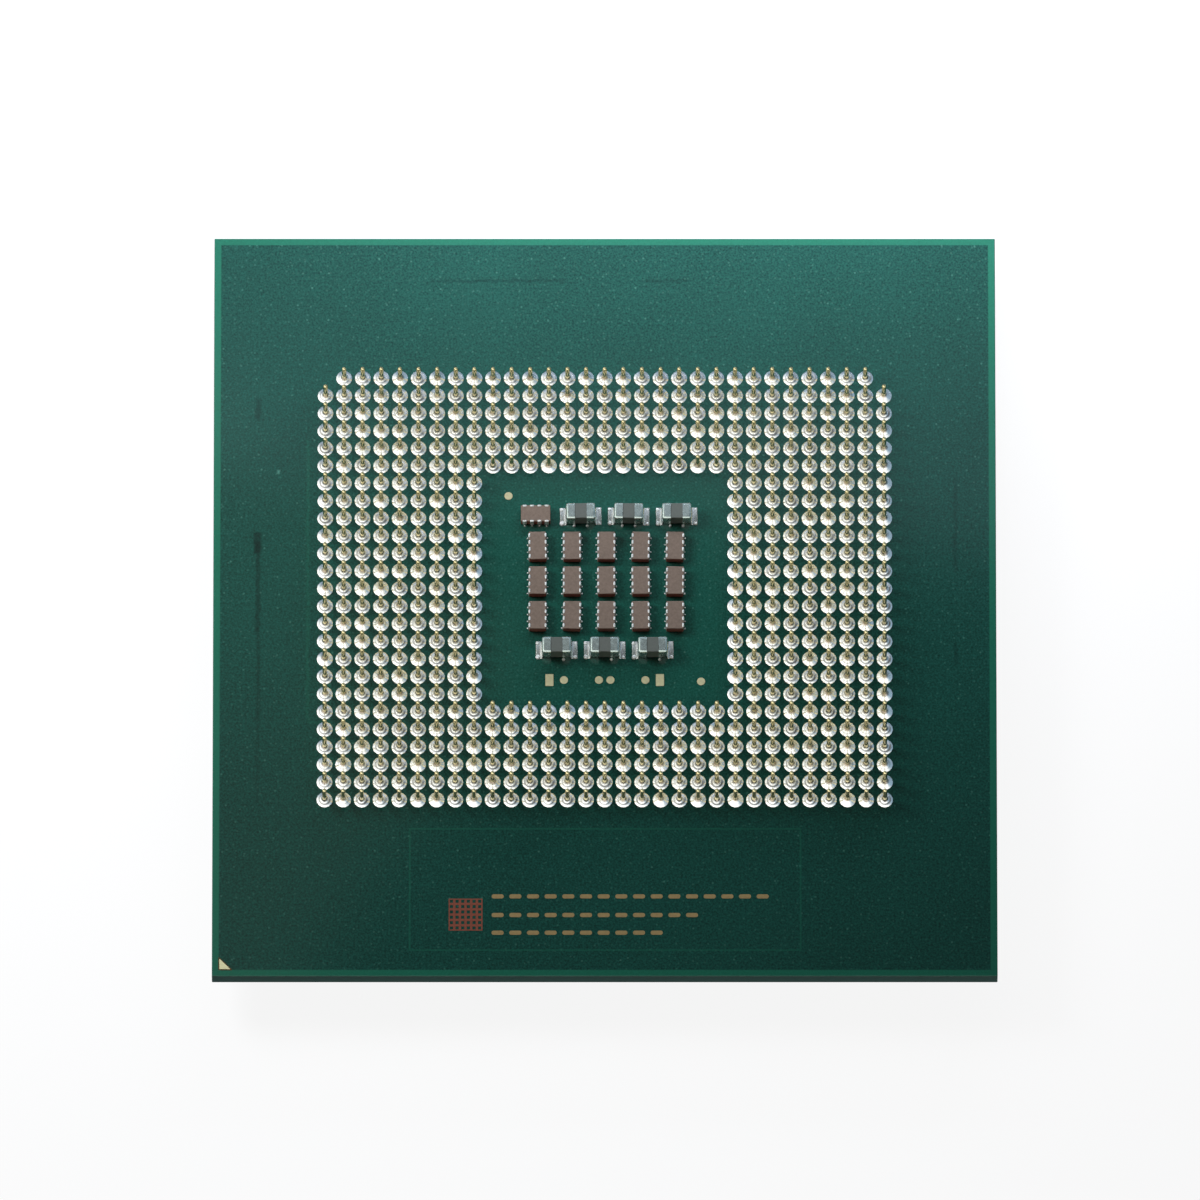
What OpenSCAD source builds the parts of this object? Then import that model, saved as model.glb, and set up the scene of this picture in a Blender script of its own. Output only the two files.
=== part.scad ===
// Pin grid array processor package, lying on its heat spreader with the contact pins upward.
// The origin is the centre of the heat spreader's outer face. +Z points out along the pins,
// +Y towards the board edge that is nearer to the pin field, +X to the right seen from the pins.
// All sizes are in millimetres.

/* [Board] */
// Side of the square laminate board
board_side = 53.34; // [48:0.01:60]
// Thickness of the laminate board
board_thick = 1.25; // [0.8:0.05:2]

/* [Contact pins] */
// Distance between neighbouring pins
pin_pitch = 1.27; // [1.1:0.01:1.5]
// Pin places along X
pin_columns = 31; // [27:2:33]
// Pin places along Y
pin_rows = 25; // [23:2:31]
// Shift of the pin field from the board's centre towards +Y
field_shift = 1.27; // [0:0.01:2]
// Diameter of a pin
pin_wide = 0.305; // [0.25:0.005:0.4]
// Length of a pin above the board
pin_tall = 2.03; // [1.5:0.01:3]
// Chamfer round a pin's tip
tip_chamfer = 0.06; // [0.02:0.01:0.1]
// Taper of a pin's foot, on the radius, inside its solder joint
foot_taper = 0.01; // [0.005:0.001:0.02]

/* [Pin solder] */
// Clear board between neighbouring solder joints
solder_gap = 0.17; // [0.05:0.01:0.3]
// Height of the shoulder where the solder covers the pin's foot
shoulder_tall = 0.24; // [0.15:0.01:0.4]
// Width of the flat ledge on the shoulder
ledge_wide = 0.095; // [0.05:0.005:0.15]
// Width of the collar that creeps up the pin
collar_wide = 0.115; // [0.05:0.005:0.15]
// Height of that collar above the shoulder
collar_tall = 0.16; // [0.08:0.01:0.3]

/* [Array capacitors] */
// Width of an eight-terminal capacitor
array_wide = 1.25; // [1:0.01:1.6]
// Length of an eight-terminal capacitor
array_long = 2; // [1.6:0.01:2.4]
// Height of an eight-terminal capacitor
array_tall = 0.7; // [0.5:0.01:1]
// Eight-terminal capacitors in a row along X
array_columns = 5; // [3:1:5]
// Rows of eight-terminal capacitors
array_rows = 3; // [2:1:3]
// Clear board between two of them along X
array_gap_x = 1.09; // [0.6:0.01:1.3]
// Clear board between two of them along Y
array_gap_y = 0.51; // [0.3:0.01:0.8]
// Shift of the block of capacitors along X from the pin field's centre
array_shift_x = 0.11; // [-0.3:0.01:0.3]
// Shift of the block of capacitors along Y from the pin field's centre
array_shift_y = 0.39; // [0:0.01:0.6]
// Terminals along each long side
side_terminals = 4; // [2:1:5]
// Bare ceramic between two terminals
terminal_gap = 0.2; // [0.1:0.01:0.25]
// How far a terminal laps onto the top and bottom faces
terminal_lap = 0.13; // [0.1:0.01:0.3]
// Thickness of the metal on capacitor terminals
plating = 0.04; // [0.02:0.01:0.06]
// Reach of the solder at the foot of each terminal
terminal_fillet = 0.13; // [0.1:0.01:0.2]

/* [Chip capacitors] */
// Length of a two-terminal capacitor
chip_long = 2; // [1.6:0.01:2.2]
// Width of a two-terminal capacitor
chip_wide = 1.15; // [1:0.01:1.5]
// Height of a two-terminal capacitor
chip_tall = 1.25; // [0.6:0.01:1.4]
// Length of its metal end cap
end_band = 0.6; // [0.3:0.01:0.7]
// Radius on the upright corners of an end cap
end_round = 0.12; // [0.05:0.01:0.2]
// Two-terminal capacitors in each of the two rows
chips_per_row = 3; // [2:1:3]
// Clear distance between two of them
chip_gap = 1.27; // [1:0.01:1.4]
// Clear board between these rows and the block of array capacitors
row_gap = 0.75; // [0.4:0.01:1]
// Clear distance from the crosswise array capacitor to the first chip in its row
cross_gap = 1.07; // [0.7:0.01:1.2]
// Reach of the solder fillet beyond each end
chip_fillet = 0.415; // [0.2:0.005:0.45]
// How far the fillet stands out past each side of the chip
fillet_margin = 0.05; // [0.02:0.01:0.1]
// Thickness of a solder fillet at its thin edges
fillet_edge = 0.03; // [0.02:0.005:0.05]

/* [Pads and mark] */
// Diameter of a round test pad and width of a bar pad
pad_wide = 0.55; // [0.4:0.01:0.65]
// Length of a bar pad
bar_long = 0.85; // [0.7:0.01:1]
// Thickness of the gold pads and of the corner mark
pad_thick = 0.03; // [0.02:0.01:0.06]
// Clear board between the lower chip row and the row of test pads
pad_row_gap = 1.11; // [0.7:0.01:1.2]
// Clear board between the two middle test pads
middle_gap = 0.23; // [0.1:0.01:0.4]
// Step from a middle test pad to the outer round pad on its side
outer_step = 2.38; // [2:0.01:2.6]
// Step from the outer round pad to the bar pad
bar_step = 0.99; // [0.8:0.01:1.2]
// Clear distance from the crosswise capacitor's corner to the round corner pad
corner_pad_gap = 0.58; // [0.3:0.01:0.8]
// Clear board between the outermost pad and the nearest pin's solder
bay_clear = 1; // [0.5:0.01:1.3]
// Length of the two straight sides of the corner mark
mark_leg = 0.9; // [0.6:0.01:1.2]
// Distance of the corner mark from the board's edges
mark_inset = 0.47; // [0.3:0.01:0.8]

/* [Heat spreader] */
// Side of the square heat spreader
spreader_side = 38; // [32:0.1:44]
// Thickness of the heat spreader
spreader_thick = 2.5; // [1.8:0.05:3.2]
// Radius of its corners
spreader_corner = 1.5; // [1:0.1:3]
// Chamfer round its outer face
spreader_chamfer = 0.4; // [0.2:0.05:0.8]
// Width of the rim that is bonded to the board
rim_wide = 5; // [4:0.1:7]
// Radius in the corners of the recess over the die
recess_corner = 1; // [0.5:0.1:2]
// Thickness of the sealant under the rim
sealant_thick = 0.15; // [0.08:0.01:0.25]
// Distance of the sealant from both edges of the rim
sealant_inset = 0.8; // [0.4:0.1:1.2]
// Gap in the sealant through which the recess is vented
vent_wide = 3; // [1:0.1:6]

/* [Die] */
// Width of the silicon die
die_wide = 12; // [9:0.1:16]
// Length of the silicon die
die_long = 11.3; // [9:0.1:16]
// Thickness of the silicon die
die_thick = 0.775; // [0.5:0.005:0.9]
// Thickness of the underfill and bump layer between die and board
underfill_thick = 0.08; // [0.05:0.01:0.12]
// How far the underfill spreads past the die
underfill_margin = 0.7; // [0.3:0.1:1.5]
// Thickness of the thermal interface between die and heat spreader
interface_thick = 0.1; // [0.05:0.01:0.2]
// How far the thermal interface spreads past the die
interface_margin = 0.5; // [0.2:0.1:1]

/* [Hidden] */
$fn = 48;

// Levels, from the face that the package lies on upwards
sealant_z = spreader_thick;
board_z = sealant_z + sealant_thick;
top_z = board_z + board_thick;
die_z = board_z - underfill_thick - die_thick;
recess_z = die_z - interface_thick;

// One pin and its solder joint
pin_r = pin_wide / 2;
tip_r = pin_r - tip_chamfer;
foot_r = pin_r - foot_taper;
solder_r = (pin_pitch - solder_gap) / 2;
collar_r = pin_r + collar_wide;
shoulder_r = collar_r + ledge_wide;
solder_tall = shoulder_tall + collar_tall;

// Capacitor places, from the pin field's centre: X, Y and the turn about Z
array_step_x = array_wide + array_gap_x;
array_step_y = array_long + array_gap_y;
array_half_y = (array_rows - 1) / 2 * array_step_y + array_long / 2;
upper_row_y = array_shift_y + array_half_y + row_gap + chip_wide / 2;
lower_row_y = array_shift_y - array_half_y - row_gap - chip_wide / 2;
chip_step = chip_long + chip_gap;
// The upper row stands half a step to the right of the lower one
upper_first_x = -(chips_per_row - 2) / 2 * chip_step;
lower_first_x = -(chips_per_row - 1) / 2 * chip_step;
cross_x = upper_first_x - chip_long / 2 - cross_gap - array_long / 2;
cross_turn = 90;
array_block = [
    for (r = [0 : array_rows - 1], c = [0 : array_columns - 1]) [
        array_shift_x + (c - (array_columns - 1) / 2) * array_step_x,
        array_shift_y + ((array_rows - 1) / 2 - r) * array_step_y,
        0
    ]
];
array_places = concat(array_block, [[cross_x, upper_row_y, cross_turn]]);
chip_places = concat(
    [for (i = [0 : chips_per_row - 1]) [upper_first_x + i * chip_step, upper_row_y, 0]],
    [for (i = [0 : chips_per_row - 1]) [lower_first_x + i * chip_step, lower_row_y, 0]]
);
terminal_step = array_long / side_terminals;
terminal_long = terminal_step - terminal_gap;

// Test pad places, from the pin field's centre
pad_row_y = lower_row_y - chip_wide / 2 - fillet_margin - pad_row_gap - bar_long / 2;
middle_x = (pad_wide + middle_gap) / 2;
outer_x = middle_x + outer_step;
bar_x = outer_x + bar_step;
corner_pad_x = -cross_x + array_long / 2 + corner_pad_gap + pad_wide / 2;
corner_pad_y = upper_row_y + array_wide / 2 + corner_pad_gap + pad_wide / 2;

// The pin field leaves a square bay round the capacitors and two bare places at its +Y corners
bay_half = max(corner_pad_x, corner_pad_y) + pad_wide / 2;
bay_steps = ceil((bay_half + bay_clear + solder_r) / pin_pitch);
middle_column = (pin_columns - 1) / 2;
middle_row = (pin_rows - 1) / 2;
function in_bay(c, r) = abs(c - middle_column) < bay_steps && abs(r - middle_row) < bay_steps;
function bare_corner(c, r) = r == pin_rows - 1 && abs(c - middle_column) == middle_column;
pin_places = [
    for (r = [0 : pin_rows - 1], c = [0 : pin_columns - 1])
        if (!in_bay(c, r) && !bare_corner(c, r))
            [(c - middle_column) * pin_pitch, (r - middle_row) * pin_pitch, 0]
];

function numbered(name, places) = [for (i = [1 : len(places)]) str(name, "_", i)];

// Places its children on the board's pin side, measured from the pin field's centre
module on_board(place) {
    translate([place[0], place[1] + field_shift, top_z])
        rotate([0, 0, place[2]])
            children();
}

// Repeats its children at both ends of the X axis, the second time turned half round
module both_ends() {
    children();
    rotate([0, 0, 180]) children();
}

// A block that is centred on X and Y and stands on its base
module block(x, y, z) {
    translate([-x / 2, -y / 2, 0]) cube([x, y, z]);
}

// A rectangle with round corners, centred
module round_rectangle(x, y, r) {
    square([x - 2 * r, y], center = true);
    square([x, y - 2 * r], center = true);
    for (sx = [-1, 1], sy = [-1, 1])
        translate([sx * (x / 2 - r), sy * (y / 2 - r)]) circle(r);
}

// A concave solder fillet that rises from the board against a wall at X = 0
module fillet(reach, long) {
    translate([0, long / 2, 0]) rotate([90, 0, 0]) linear_extrude(long) difference() {
        square(reach);
        translate([reach, reach]) circle(reach - fillet_edge);
    }
}

module substrate() {
    color("#24574a") translate([0, 0, board_z]) block(board_side, board_side, board_thick);
}

module contact_pins() {
    color("#d8b878") for (place = pin_places) on_board(place) rotate_extrude() polygon([
        [0, 0],
        [foot_r, 0],
        [pin_r, solder_tall],
        [pin_r, pin_tall - tip_chamfer],
        [tip_r, pin_tall],
        [0, pin_tall]
    ]);
}

module pin_solder() {
    color("#b9bfc2") for (place = pin_places) on_board(place) rotate_extrude() polygon([
        [foot_r, 0],
        [solder_r, 0],
        [shoulder_r, shoulder_tall],
        [collar_r, shoulder_tall],
        [pin_r, solder_tall]
    ]);
}

module array_capacitor(place) {
    color("#7f6c66") on_board(place) translate([0, 0, plating])
        block(array_wide - 2 * plating, array_long, array_tall - 2 * plating);
}

// One channel-shaped terminal on the +X side, wrapped over the top and bottom faces
module array_terminal() {
    translate([array_wide / 2, terminal_long / 2, 0]) rotate([90, 0, 0]) linear_extrude(terminal_long)
        polygon([
            [-terminal_lap, 0],
            [0, 0],
            [0, array_tall],
            [-terminal_lap, array_tall],
            [-terminal_lap, array_tall - plating],
            [-plating, array_tall - plating],
            [-plating, plating],
            [-terminal_lap, plating]
        ]);
}

// Repeats its children at every terminal of one array capacitor
module at_terminals() {
    both_ends() for (i = [0 : side_terminals - 1])
        translate([0, (i - (side_terminals - 1) / 2) * terminal_step, 0]) children();
}

module array_terminals(place) {
    color("#c9ccca") on_board(place) at_terminals() array_terminal();
}

module array_solder() {
    color("#b9bfc2") for (place = array_places) on_board(place) at_terminals()
        translate([array_wide / 2, 0, 0]) fillet(terminal_fillet, terminal_long);
}

module chip_body() {
    translate([0, 0, plating])
        block(chip_long - 2 * plating, chip_wide - 2 * plating, chip_tall - 2 * plating);
}

module chip_capacitor(place) {
    color("#64636a") on_board(place) chip_body();
}

module chip_end_caps(place) {
    color("#c3c7c5") on_board(place) difference() {
        linear_extrude(chip_tall) both_ends() intersection() {
            round_rectangle(chip_long, chip_wide, end_round);
            translate([chip_long / 2 - end_band, -chip_wide / 2]) square([end_band, chip_wide]);
        }
        chip_body();
    }
}

module chip_solder() {
    color("#b9bfc2") for (place = chip_places) on_board(place) both_ends()
        translate([chip_long / 2, 0, 0]) fillet(chip_fillet, chip_wide + 2 * fillet_margin);
}

module round_pad(x, y) {
    on_board([x, y, 0]) cylinder(h = pad_thick, d = pad_wide);
}

module test_pads() {
    color("#c2ac82") {
        for (side = [-1, 1]) {
            round_pad(side * middle_x, pad_row_y);
            round_pad(side * outer_x, pad_row_y);
            on_board([side * bar_x, pad_row_y, 0]) block(pad_wide, bar_long, pad_thick);
            round_pad(side * corner_pad_x, -side * corner_pad_y);
        }
    }
}

module corner_mark() {
    color("#e8cf8c") translate([mark_inset - board_side / 2, mark_inset - board_side / 2, top_z])
        linear_extrude(pad_thick) polygon([[0, 0], [mark_leg, 0], [0, mark_leg]]);
}

// A plate with round upright corners and a chamfer round its lower face
module chamfered_plate(side, thick, corner, chamfer) {
    straight = side - 2 * corner;
    for (turn = [0, 90]) rotate([90, 0, turn]) linear_extrude(straight, center = true) polygon([
        [chamfer - side / 2, 0],
        [side / 2 - chamfer, 0],
        [side / 2, chamfer],
        [side / 2, thick],
        [-side / 2, thick],
        [-side / 2, chamfer]
    ]);
    for (sx = [-1, 1], sy = [-1, 1]) translate([sx * straight / 2, sy * straight / 2, 0])
        rotate_extrude() polygon([
            [0, 0],
            [corner - chamfer, 0],
            [corner, chamfer],
            [corner, thick],
            [0, thick]
        ]);
}

module heat_spreader() {
    recess_side = spreader_side - 2 * rim_wide;
    color("#b4b6b4") difference() {
        chamfered_plate(spreader_side, spreader_thick, spreader_corner, spreader_chamfer);
        translate([0, 0, recess_z]) linear_extrude(spreader_thick)
            round_rectangle(recess_side, recess_side, recess_corner);
    }
}

module lid_sealant() {
    outer_side = spreader_side - 2 * sealant_inset;
    inner_side = spreader_side - 2 * rim_wide + 2 * sealant_inset;
    color("#3a3a3c") translate([0, 0, sealant_z]) linear_extrude(sealant_thick) difference() {
        round_rectangle(outer_side, outer_side, spreader_corner);
        round_rectangle(inner_side, inner_side, recess_corner);
        translate([-vent_wide / 2, 0]) square([vent_wide, spreader_side]);
    }
}

module thermal_interface() {
    color("#8d9295") translate([0, 0, recess_z])
        block(die_wide + 2 * interface_margin, die_long + 2 * interface_margin, interface_thick);
}

module silicon_die() {
    color("#4a4d55") translate([0, 0, die_z]) block(die_wide, die_long, die_thick);
}

module underfill() {
    color("#2c2a2e") translate([0, 0, board_z - underfill_thick])
        block(die_wide + 2 * underfill_margin, die_long + 2 * underfill_margin, underfill_thick);
}

substrate();
contact_pins();
pin_solder();
for (i = [1 : len(array_places)]) {
    array_capacitor(array_places[i - 1]);
    array_terminals(array_places[i - 1]);
}
array_solder();
for (i = [1 : len(chip_places)]) {
    chip_capacitor(chip_places[i - 1]);
    chip_end_caps(chip_places[i - 1]);
}
chip_solder();
test_pads();
corner_mark();
heat_spreader();
lid_sealant();
thermal_interface();
silicon_die();
underfill();
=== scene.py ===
"""Finished pieces and stage for a pin grid array processor package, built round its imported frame.

Every piece is modelled in millimetres in the frame's own axes and scaled to metres when it is made.
"""
import math
import random
from functools import partial

import bmesh
import bpy
from bpy.props import FloatProperty, FloatVectorProperty, IntProperty, PointerProperty
from mathutils import Matrix, Vector


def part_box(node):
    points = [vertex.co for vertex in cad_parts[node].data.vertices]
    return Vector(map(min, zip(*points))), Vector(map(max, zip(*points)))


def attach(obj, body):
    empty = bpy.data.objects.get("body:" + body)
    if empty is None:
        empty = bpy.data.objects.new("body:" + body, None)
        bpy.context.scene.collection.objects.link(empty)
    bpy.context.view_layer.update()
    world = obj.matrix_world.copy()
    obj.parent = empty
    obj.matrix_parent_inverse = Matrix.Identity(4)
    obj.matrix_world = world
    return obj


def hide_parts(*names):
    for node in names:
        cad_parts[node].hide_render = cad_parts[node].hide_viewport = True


bl_info = {
    "name": "Pin grid array package",
    "version": (1, 0, 0),
    "blender": (4, 5, 0),
    "location": "3D View > Sidebar > Package",
    "description": "Dresses the packed processor package with its finished pieces and sets its stage",
    "category": "Object",
}

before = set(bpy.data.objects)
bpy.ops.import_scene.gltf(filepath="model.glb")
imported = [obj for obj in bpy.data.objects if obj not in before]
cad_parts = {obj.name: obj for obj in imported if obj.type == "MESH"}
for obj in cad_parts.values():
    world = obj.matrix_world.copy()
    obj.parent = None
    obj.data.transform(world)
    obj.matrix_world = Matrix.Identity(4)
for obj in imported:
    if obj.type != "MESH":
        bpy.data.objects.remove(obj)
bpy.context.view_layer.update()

MM = 0.001
FULL_TURN = 2 * math.pi
UP = Vector((0, 0, 1))
WHITE = (1, 1, 1, 1)
ENDS = (-1, 1)
ARRAY_COUNT = 16
CHIP_COUNT = 6
# In millimetres: vertices this close become one, and a vertex this close to a plane lies on it.
WELD = 1e-5
NEAR = 1e-4


def linear(hex_colour):
    """Turn an sRGB hex colour into linear red, green and blue."""
    channels = [int(hex_colour[i:i + 2], 16) / 255 for i in (0, 2, 4)]
    return tuple(c / 12.92 if c <= 0.04045 else ((c + 0.055) / 1.055) ** 2.4 for c in channels)


def tone(rgb, factor=1.0):
    """A linear colour made darker or lighter, with full alpha, as colour sockets take it."""
    return (*(channel * factor for channel in rgb), 1.0)


def box_mm(node):
    """Lowest and highest corner of a frame node, in millimetres."""
    low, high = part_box(node)
    return low / MM, high / MM


BOARD_LOW, BOARD_HIGH = box_mm("substrate")
PIN_LOW, PIN_HIGH = box_mm("contact_pins")
LID_LOW, LID_HIGH = box_mm("heat_spreader")
TOP = BOARD_HIGH.z
FIELD_CENTRE = Vector(((PIN_LOW.x + PIN_HIGH.x) / 2, (PIN_LOW.y + PIN_HIGH.y) / 2, TOP))


def length(name, description, millimetres):
    """A length property, kept in metres."""
    return FloatProperty(
        name=name, description=description, default=millimetres * MM,
        min=0.0, unit="LENGTH", subtype="DISTANCE", precision=5,
    )


def colour(name, description, hex_colour):
    """A colour property, written as sRGB hex and kept linear."""
    return FloatVectorProperty(
        name=name, description=description, default=linear(hex_colour),
        size=3, min=0.0, max=1.0, subtype="COLOR",
    )


def count(name, description, number):
    """A property for a whole number."""
    return IntProperty(name=name, description=description, default=number, min=1)


def power(name, description, watts):
    """A property for a lamp's power."""
    return FloatProperty(
        name=name, description=description, default=watts, min=0.0, unit="POWER", precision=4,
    )


class BoardSettings(bpy.types.PropertyGroup):
    edge_round: length("Edge round", "Rounding on the routed edges of the board", 0.05)
    border_width: length("Border width", "Bare strip round the board with no copper under the mask", 0.47)
    window_width: length("Window width", "Width of the outlined marking window", 26.55)
    window_height: length("Window height", "Height of the outlined marking window", 8.72)
    window_line: length("Window line", "Width of the line round the marking window", 0.13)
    bay_width: length("Bay width", "Side of the square bay without pins", 17.4)
    mask_colour: colour("Mask", "Solder mask over copper", "14483d")
    border_colour: colour("Border", "Solder mask over bare laminate", "1d6a52")
    edge_colour: colour("Edge", "Cut edge of the laminate", "123f38")
    speck_colour: colour("Specks", "Pale filler specks in the mask", "4f8a78")
    streak_colour: colour("Streaks", "Dark rubbed streaks on the mask", "07201c")


class PinSettings(bpy.types.PropertyGroup):
    pitch: length("Pitch", "Distance between neighbouring pins", 1.27)
    columns: count("Columns", "Pin places along X", 31)
    rows: count("Rows", "Pin places along Y", 25)
    bay_steps: count("Bay steps", "Half the bare bay, in pin steps", 7)
    tip_round: length("Tip round", "Rounding of a pin's tip", 0.13)
    gold_colour: colour("Gold", "Gold plating on the pins", "d8cb9c")
    solder_colour: colour("Solder", "Reflowed solder", "f4f4f0")
    foot_colour: colour("Foot", "Solder stained by the gold at a pin's foot", "96836a")
    # Painted reflection: the ring colour paints the dark overhead mirrored at a joint's shoulder; no flux
    # lies there
    ring_reflection_paint_colour: colour("Ring", "Line of flux where a joint's shoulder ends", "6b6764")
    bed_colour: colour("Bed", "Solder spread thin on a pad", "c6cac6")
    seed: count("Seed", "Seed for the unevenness of the joints", 604)


class CapacitorSettings(bpy.types.PropertyGroup):
    ceramic_round: length("Ceramic round", "Tumbled rounding of a ceramic body", 0.045)
    lobe_length: length("Lobe length", "Length of one terminal on a side", 0.3)
    lobe_round: length("Lobe round", "Rounding of a terminal", 0.07)
    lobe_lap: length("Lobe lap", "How far a terminal laps over the body", 0.15)
    end_round: length("End round", "Rounding of a chip's metal end", 0.15)
    end_band: length("End band", "Length of a chip's metal end", 0.6)
    brown_colour: colour("Brown ceramic", "Top of an eight-terminal capacitor", "7a6a5d")
    brown_side_colour: colour("Brown side", "Cut sides of an eight-terminal capacitor", "6e3a2b")
    grey_colour: colour("Grey ceramic", "Body of a two-terminal capacitor", "62665f")
    lobe_colour: colour("Lobes", "Tin that has flowed with the solder on a side terminal", "e6e8e4")
    tin_colour: colour("Tin", "Tin plating on the terminals", "bccac3")
    seed: count("Seed", "Seed for the small turns of the parts", 22)


class MarkSettings(bpy.types.PropertyGroup):
    pad_width: length("Pad width", "Diameter of a round pad and width of a bar pad", 0.55)
    bar_length: length("Bar length", "Length of a bar pad", 0.85)
    print_thick: length("Print thickness", "Thickness of the printed marks", 0.008)
    pad_colour: colour("Pads", "Flash gold on the bare pads", "dcd4a8")
    # Painted reflection: the corner mark's near-white colour stands in for a bright light mirrored in its
    # shiny gold
    mark_reflection_paint_colour: colour("Corner mark", "Bright gold of the corner mark", "fff8c0")
    opening_colour: colour("Mask opening", "Bare laminate round the corner mark", "4a3a1c")
    print_colour: colour("Print", "Copper-tan marking", "a38a5c")
    square_colour: colour("Square", "Copper-red marking square", "8a4c3a")


class LidSettings(bpy.types.PropertyGroup):
    corner: length("Corner", "Radius of the lid's corners", 1.5)
    chamfer: length("Chamfer", "Rounded edge of the lid's outer face", 0.4)
    rim_width: length("Rim width", "Rim that is bonded to the board", 5.0)
    recess_depth: length("Recess depth", "Depth of the recess over the die", 0.805)
    nickel_colour: colour("Nickel", "Nickel plating on the lid", "c4c3bb")
    sealant_colour: colour("Sealant", "Silicone between lid and board", "2b2c2e")
    paste_colour: colour("Paste", "Thermal paste on the die", "9a9ea0")
    silicon_colour: colour("Silicon", "Lapped back of the die", "55585f")
    resin_colour: colour("Resin", "Underfill round the die", "2f2a24")


class StageSettings(bpy.types.PropertyGroup):
    elevation: FloatProperty(
        name="Elevation", description="Camera's height above the horizon",
        default=math.radians(70.4), subtype="ANGLE",
    )
    distance: length("Distance", "Camera's distance from the pins", 2500)
    view_width: length("View width", "Width of the picture at the board", 81.74)
    back_power: power("Back lamp", "Power of the cool lamp behind", 0.064)
    left_power: power("Left lamp", "Power of the lamp at the left", 0.08)
    sheen_power: power("Sheen card", "Power of the dim card that the board mirrors", 0.0158)
    card_power: power("Left card", "Power of the dim warm card that the board's left side mirrors", 0.0042)
    fill: FloatProperty(name="Fill", description="Strength of the studio's even fill", default=0.03, min=0)
    floor_colour: colour("Floor", "Plain pale floor", "f4f4f2")
    back_colour: colour("Back colour", "Cool white of the lamp behind", "e4eeff")
    card_colour: colour("Card colour", "Warm white of the card at the left", "fff2d8")
    left_colour: colour("Left colour", "Cool white of the lamp at the left", "f2f6ff")


def add_node(tree, kind, inputs=(), **settings):
    """Add a shader node with its settings and its inputs, linked or set.

    Its only output is given back, or the node where it has several.
    """
    node = tree.nodes.new(f"ShaderNode{kind}")
    for name, value in settings.items():
        setattr(node, name, value)
    for socket, value in inputs.items() if isinstance(inputs, dict) else enumerate(inputs):
        if isinstance(value, bpy.types.NodeSocket):
            tree.links.new(value, node.inputs[socket])
        else:
            node.inputs[socket].default_value = value
    shown = [output for output in node.outputs if output.enabled]
    return shown[0] if len(shown) == 1 else node


def adder(owner):
    """Empty the tree of a material or world, and give back what adds a node to it."""
    owner.use_nodes = True
    owner.node_tree.nodes.clear()
    return partial(add_node, owner.node_tree)


def new_material(name):
    """A material with an empty tree, what adds a node to it, and its Object coordinates in millimetres."""
    material = bpy.data.materials.new(name)
    add = adder(material)
    coordinates = add("TexCoord").outputs["Object"]
    place = add("VectorMath", {0: coordinates, "Scale": 1 / MM}, operation="SCALE")
    return material, add, place


def finish_material(material, paint, roughness, height, bump, constants):
    """Join paint, roughness, a bump of a height in millimetres, and constants to the material's output."""
    add = partial(add_node, material.node_tree)
    normal = add("Bump", {"Height": height, "Distance": bump * MM, "Strength": 1.0})
    looks = {"Base Color": paint, "Roughness": roughness, "Normal": normal, **constants}
    add("OutputMaterial", {"Surface": add("BsdfPrincipled", looks)})
    return material


def outside(add, place, centre, half):
    """How far a place lies outside an upright box, in millimetres, below 0 within it."""
    moved = add("VectorMath", (place, (*centre, 0)), operation="SUBTRACT")
    folded = add("VectorMath", (moved,), operation="ABSOLUTE")
    past = add("VectorMath", (folded, (*half, 0)), operation="SUBTRACT")
    sides = add("SeparateXYZ", (past,)).outputs
    return add("Math", (sides["X"], sides["Y"]), operation="MAXIMUM")


# Nearly all values of a noise lie between these.
NOISE_SPAN = (0.3, 0.7)
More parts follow.
